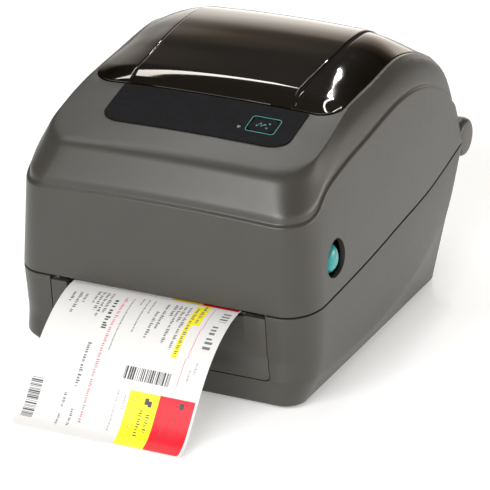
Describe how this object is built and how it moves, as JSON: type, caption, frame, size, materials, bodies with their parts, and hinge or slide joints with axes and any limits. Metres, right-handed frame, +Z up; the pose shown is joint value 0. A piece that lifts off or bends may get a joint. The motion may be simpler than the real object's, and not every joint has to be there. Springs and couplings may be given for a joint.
{
  "type": "thermal label printer",
  "caption": "Compact desktop label printer with a hinged cover, smoked window, sloping control strip and a printed label curling out of the front slot.",
  "frame": {"origin": "centre of the bounding box, on the resting surface under the rubber feet", "axes": "+Z up, -Y towards the label slot at the front, +X to the printer's right as seen from the front"},
  "size_m": [0.193, 0.3374, 0.1785],
  "materials": {
    "case_grey": "fine-grained satin grey",
    "case_dark": "fine-grained dark grey",
    "smoked_window": "gloss, smoked brown, nearly opaque",
    "panel_black": "smooth satin black overlay",
    "teal_plastic": "satin teal",
    "status_green": "translucent grey lens",
    "label_white": "coated paper, printed",
    "core_card": "brown card tube",
    "black_rubber": "matt black",
    "steel": "brushed",
    "frame_black": "moulded black",
    "nylon_white": "natural nylon",
    "circuit_green": "solder-masked board",
    "ribbon_black": "carbon-coated film",
    "head_alloy": "milled",
    "socket_black": "moulded black"
  },
  "bodies": {
    "base": {"base_shell": "case_grey", "bottom_plate": "case_dark", "front_bezel": "case_grey", "rubber_foot_front_left": "black_rubber", "rubber_foot_front_right": "black_rubber", "rubber_foot_rear_left": "black_rubber", "rubber_foot_rear_right": "black_rubber", "case_screw_front_left": "steel", "case_screw_front_right": "steel", "case_screw_rear_left": "steel", "case_screw_rear_right": "steel", "inner_frame": "frame_black", "hold_down_bar": "steel", "platen_bearing_left": "nylon_white", "platen_bearing_right": "nylon_white", "stepper_motor": "steel", "tear_bar": "steel", "media_sensor": "frame_black", "main_board": "circuit_green", "power_jack": "socket_black", "usb_port": "steel", "serial_port": "steel", "network_port": "steel", "switch_housing": "socket_black", "label_strip": "label_white", "hinge_pin_left": "steel", "hinge_pin_right": "steel"},
    "cover": {"cover_shell": "case_grey", "window": "smoked_window", "control_panel": "panel_black", "control_board": "circuit_green", "status_lens": "status_green", "ribbon_frame": "frame_black", "printhead": "head_alloy", "printhead_bracket": "steel", "ribbon_film": "ribbon_black"},
    "platen": {"platen_shaft": "steel", "platen_rubber": "black_rubber", "platen_gear": "nylon_white"},
    "idler": {"idler_gear": "nylon_white"},
    "pinion": {"motor_pinion": "steel"},
    "media_roll": {"label_roll": "label_white", "roll_core": "core_card"},
    "holder_left": {"roll_holder_left": "frame_black"},
    "holder_right": {"roll_holder_right": "frame_black"},
    "guide_left": {"media_guide_left": "teal_plastic"},
    "guide_right": {"media_guide_right": "teal_plastic"},
    "rocker": {"power_switch": "socket_black"},
    "ribbon_supply": {"supply_core": "core_card", "ribbon_roll": "ribbon_black"},
    "ribbon_takeup": {"takeup_core": "nylon_white", "takeup_roll": "ribbon_black"},
    "latch": {"latch_shaft": "steel", "latch_lever_left": "teal_plastic", "latch_lever_right": "teal_plastic"},
    "button": {"feed_button": "panel_black"}
  },
  "joints": [
    {"name": "cover_hinge", "type": "hinge", "parent": "base", "child": "cover", "pos_m": [0, 0.15633, 0.089], "axis": [-1, 0, 0], "range_deg": [0, 95]},
    {"name": "latch_release", "type": "hinge", "parent": "cover", "child": "latch", "pos_m": [0, -0.05467, 0.104], "axis": [-1, 0, 0], "range_deg": [0, 8], "stiffness_Nm_per_rad": 1.5},
    {"name": "feed_button_press", "type": "slide", "parent": "cover", "child": "button", "axis": [0, 0.2576, -0.9662], "range_m": [0, 0.0008], "stiffness_N_per_m": 400},
    {"name": "platen_spin", "type": "hinge", "parent": "base", "child": "platen", "pos_m": [0, -0.07867, 0.0526], "axis": [1, 0, 0], "continuous": true},
    {"name": "idler_spin", "type": "hinge", "parent": "base", "child": "idler", "pos_m": [0, -0.06377, 0.0455], "axis": [1, 0, 0], "continuous": true},
    {"name": "pinion_spin", "type": "hinge", "parent": "base", "child": "pinion", "pos_m": [0, -0.05277, 0.0332], "axis": [1, 0, 0], "continuous": true},
    {"name": "label_roll_spin", "type": "hinge", "parent": "base", "child": "media_roll", "pos_m": [0, 0.04433, 0.078], "axis": [1, 0, 0], "continuous": true},
    {"name": "roll_holder_left_slide", "type": "slide", "parent": "base", "child": "holder_left", "axis": [-1, 0, 0], "range_m": [0, 0.01]},
    {"name": "roll_holder_right_slide", "type": "slide", "parent": "base", "child": "holder_right", "axis": [1, 0, 0], "range_m": [0, 0.01]},
    {"name": "media_guide_left_slide", "type": "slide", "parent": "base", "child": "guide_left", "axis": [-1, 0, 0], "range_m": [0, 0.003]},
    {"name": "media_guide_right_slide", "type": "slide", "parent": "base", "child": "guide_right", "axis": [1, 0, 0], "range_m": [0, 0.003]},
    {"name": "power_switch_rock", "type": "hinge", "parent": "base", "child": "rocker", "pos_m": [0.061, 0.13263, 0.0245], "axis": [-1, 0, 0], "range_deg": [0, 10]},
    {"name": "ribbon_supply_spin", "type": "hinge", "parent": "cover", "child": "ribbon_supply", "pos_m": [0, -0.00267, 0.14], "axis": [1, 0, 0], "continuous": true},
    {"name": "ribbon_takeup_spin", "type": "hinge", "parent": "cover", "child": "ribbon_takeup", "pos_m": [0, -0.04067, 0.122], "axis": [1, 0, 0], "continuous": true}
  ],
  "couplings": [
    {"joint": "idler_spin", "follows": "platen_spin", "ratio": -0.73684},
    {"joint": "pinion_spin", "follows": "platen_spin", "ratio": 1},
    {"joint": "roll_holder_right_slide", "follows": "roll_holder_left_slide", "ratio": 1},
    {"joint": "media_guide_right_slide", "follows": "media_guide_left_slide", "ratio": 1}
  ]
}
